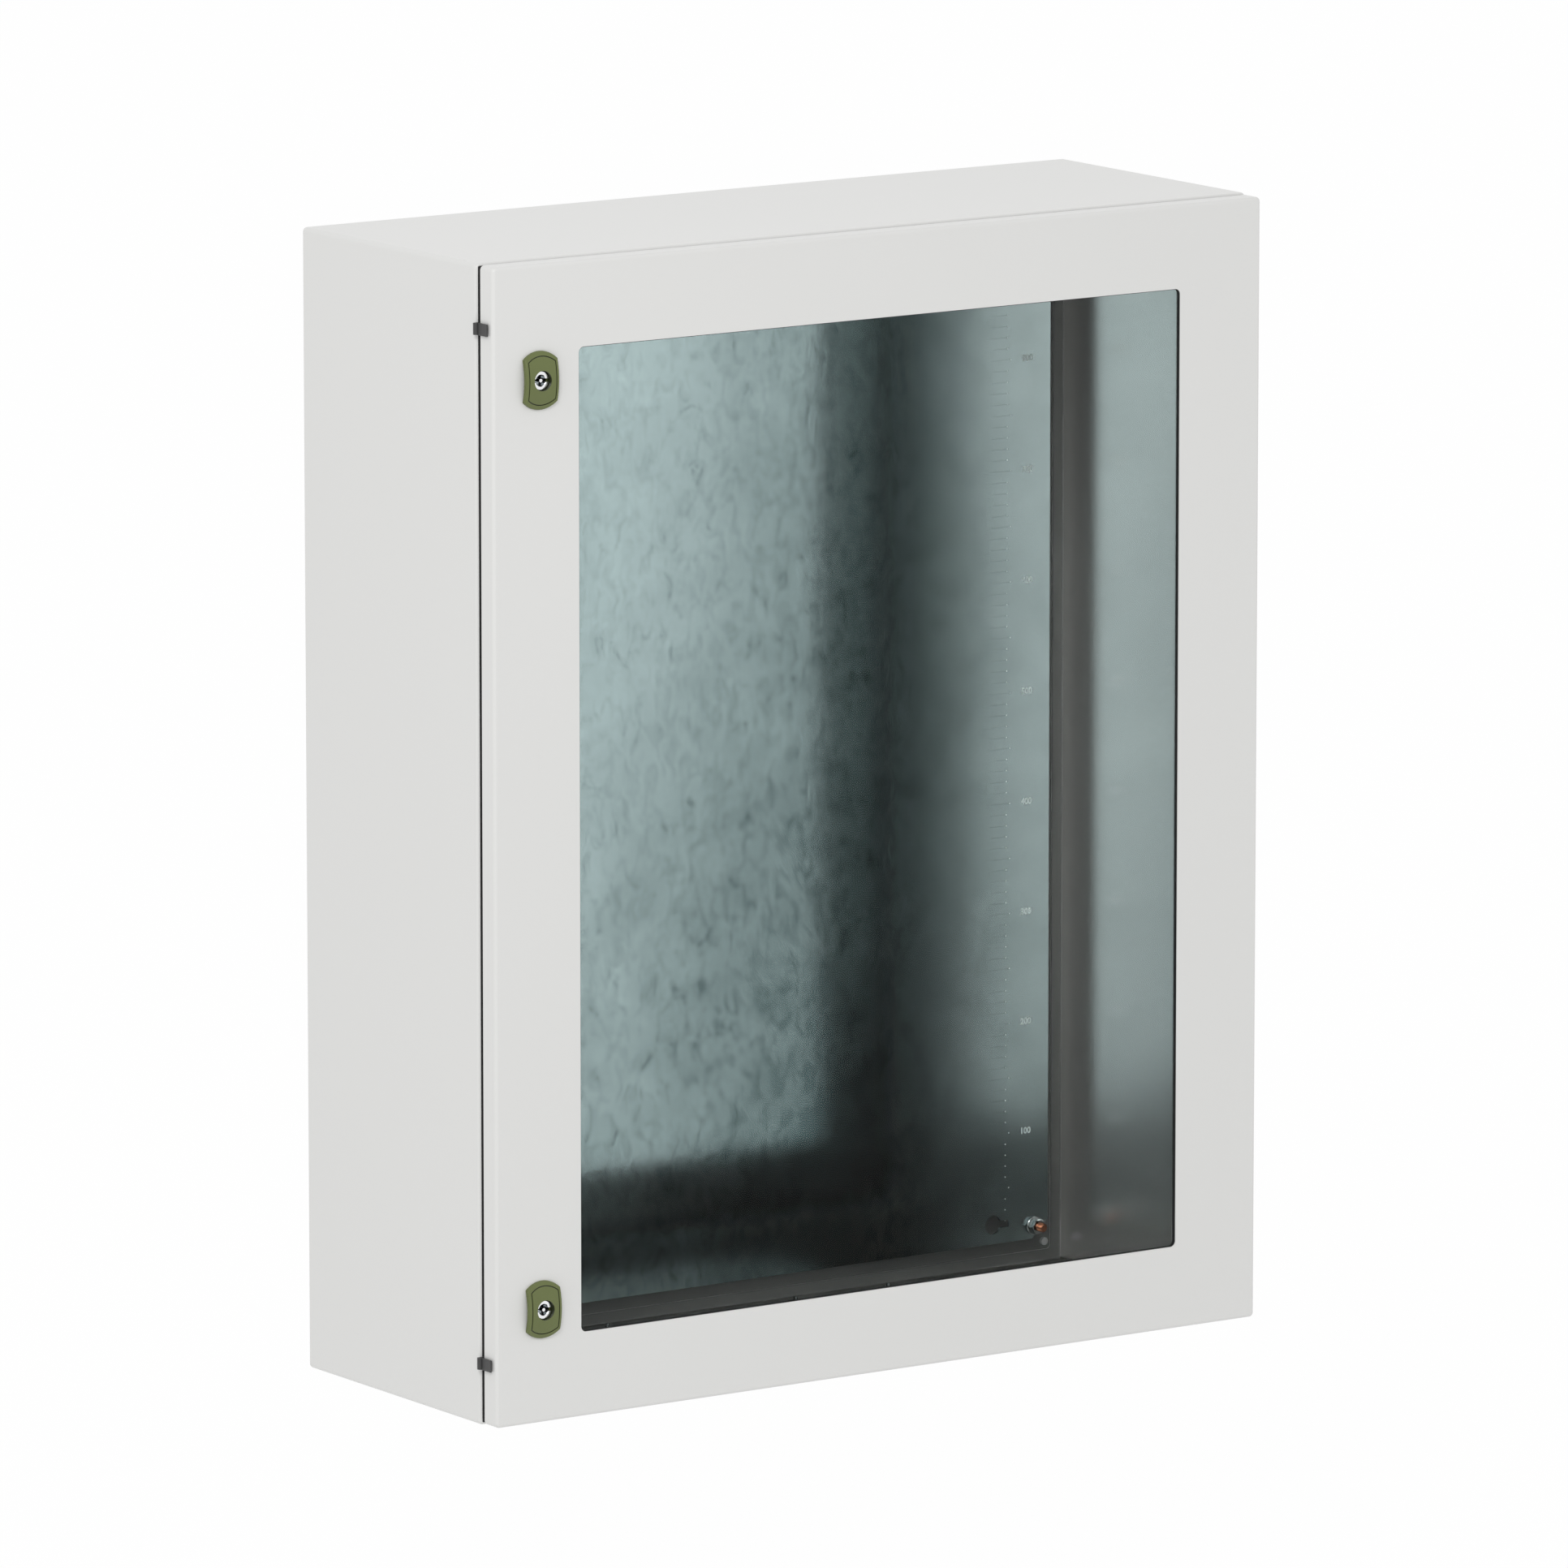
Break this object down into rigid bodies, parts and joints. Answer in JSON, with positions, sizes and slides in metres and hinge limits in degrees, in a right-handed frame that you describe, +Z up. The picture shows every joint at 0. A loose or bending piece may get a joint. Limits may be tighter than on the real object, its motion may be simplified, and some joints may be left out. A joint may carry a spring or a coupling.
{
  "type": "electrical enclosure",
  "caption": "Wall-mounted sheet steel electrical enclosure with a hinged glazed door, quarter-turn locks and a galvanised mounting plate inside.",
  "frame": {"origin": "on the rear face that lies against the wall, at the centre of the four wall-fixing holes", "axes": "+X to the right seen from the front, +Y into the wall, +Z up; the door faces -Y"},
  "size_m": [0.8094, 0.307, 1.0045],
  "materials": {
    "grey_paint": "light grey powder coat with a fine orange-peel texture",
    "galvanised_steel": "hot-dip galvanised sheet with a fine spangle",
    "coppered_steel": "copper-flashed weld studs",
    "zinc_plated_steel": "bright zinc plating",
    "hinge_casting": "black coated steel",
    "pin_steel": "turned steel",
    "black_plastic": "moulded black plastic",
    "grey_plastic": "moulded light grey plastic",
    "green_plastic": "moulded olive green plastic, satin",
    "lock_plating": "bright chrome plating",
    "seal_foam": "dark foam bead",
    "seal_rubber": "black flat rubber",
    "tinted_glass": "toughened float glass, slightly blue-green"
  },
  "bodies": {
    "cabinet": {"body_shell": "grey_paint", "rear_panel": "grey_paint", "gland_plate": "grey_paint", "mounting_plate": "galvanised_steel", "plate_studs": "coppered_steel", "cabinet_earth_stud": "coppered_steel", "plate_spacers": "zinc_plated_steel", "plate_washers": "zinc_plated_steel", "plate_nuts": "zinc_plated_steel", "cabinet_earth_nut": "zinc_plated_steel", "gland_screws": "zinc_plated_steel", "frame_leaf_screws": "zinc_plated_steel", "frame_leaf_nuts": "zinc_plated_steel", "hinge_frame_leaf_upper": "hinge_casting", "hinge_frame_leaf_lower": "hinge_casting", "hinge_pin_upper": "pin_steel", "hinge_pin_lower": "pin_steel", "blanking_clip_upper": "black_plastic", "blanking_clip_lower": "black_plastic", "hole_plugs": "grey_plastic", "gland_gasket": "seal_rubber"},
    "door": {"door_panel": "grey_paint", "door_seal": "seal_foam", "window_seal": "seal_rubber", "window_glass": "tinted_glass", "glass_clamp_left": "grey_paint", "glass_clamp_right": "grey_paint", "glass_clamp_top": "grey_paint", "glass_clamp_bottom": "grey_paint", "clamp_studs": "coppered_steel", "clamp_nuts": "zinc_plated_steel", "hinge_door_leaf_upper": "hinge_casting", "hinge_door_leaf_lower": "hinge_casting", "door_leaf_screws": "zinc_plated_steel", "door_leaf_nuts": "zinc_plated_steel", "lock_housing_upper": "green_plastic", "lock_housing_lower": "green_plastic", "lock_nut_upper": "zinc_plated_steel", "lock_nut_lower": "zinc_plated_steel", "door_earth_stud": "coppered_steel", "door_earth_nut": "zinc_plated_steel"},
    "upper_lock": {"lock_core_upper": "lock_plating", "lock_cam_upper": "zinc_plated_steel", "cam_screw_upper": "zinc_plated_steel"},
    "lower_lock": {"lock_core_lower": "lock_plating", "lock_cam_lower": "zinc_plated_steel", "cam_screw_lower": "zinc_plated_steel"}
  },
  "joints": [
    {"name": "door_hinge", "type": "hinge", "parent": "cabinet", "child": "door", "pos_m": [0.402, -0.2795, 0], "axis": [0, 0, 1], "range_deg": [0, 120]},
    {"name": "upper_lock_turn", "type": "hinge", "parent": "door", "child": "upper_lock", "pos_m": [-0.3527, -0.3, 0.4], "axis": [0, 1, 0], "range_deg": [0, 90]},
    {"name": "lower_lock_turn", "type": "hinge", "parent": "door", "child": "lower_lock", "pos_m": [-0.3527, -0.3, -0.4], "axis": [0, 1, 0], "range_deg": [0, 90]}
  ]
}
